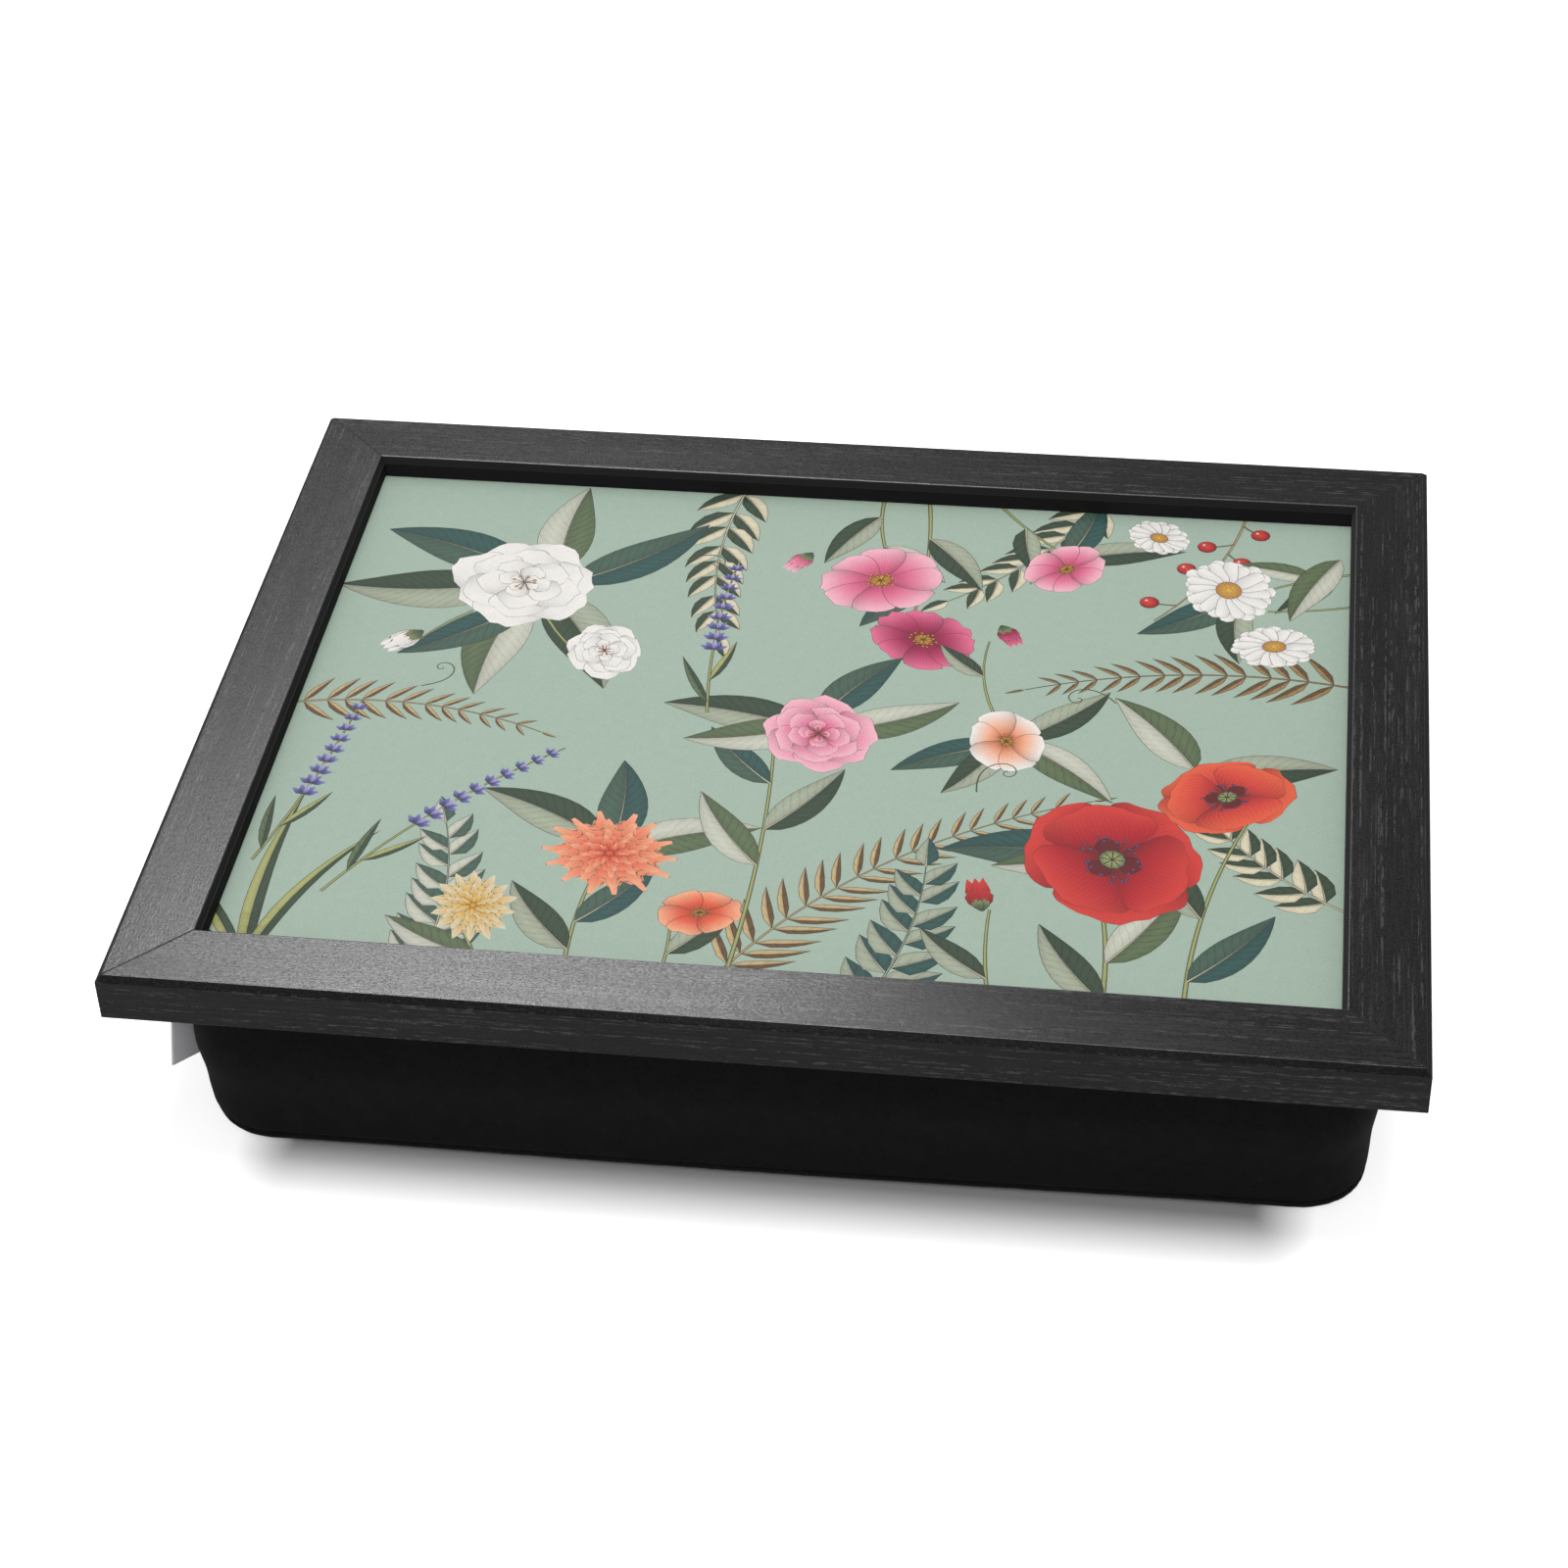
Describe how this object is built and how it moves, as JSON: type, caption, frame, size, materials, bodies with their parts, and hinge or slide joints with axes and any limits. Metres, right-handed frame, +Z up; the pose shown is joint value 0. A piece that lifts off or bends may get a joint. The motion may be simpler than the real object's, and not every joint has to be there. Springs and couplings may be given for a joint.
{
  "type": "lap tray with cushion",
  "caption": "Lap tray: a picture-frame moulding round a printed board, with a bead-filled cushion held under it by hook-and-loop tapes.",
  "frame": {"origin": "middle of the footprint, on the face that the cushion rests on", "axes": "+X along the tray's long side, +Y towards its back, +Z up"},
  "size_m": [0.44, 0.342, 0.084],
  "materials": {
    "frame_foil": "black wood-grain foil, satin",
    "board": "raw fibreboard",
    "print_laminate": "floral print on sage, fine canvas grain",
    "steel": "zinc-plated",
    "tape": "hook-and-loop nylon",
    "cover_cloth": "matt woven polyester",
    "beads": "expanded polystyrene beads",
    "label_cloth": "white satin ribbon, bare"
  },
  "bodies": {
    "root": {"rail_front": "frame_foil", "rail_right": "frame_foil", "rail_back": "frame_foil", "rail_left": "frame_foil", "tray_board": "board", "print_sheet": "print_laminate", "corner_v_nails": "steel", "board_points": "steel", "hook_tapes": "tape", "loop_tapes": "tape", "cover_base_panel": "cover_cloth", "cover_side_band": "cover_cloth", "cover_top_panel": "cover_cloth", "bead_fill": "beads", "side_label": "label_cloth"}
  },
  "joints": []
}
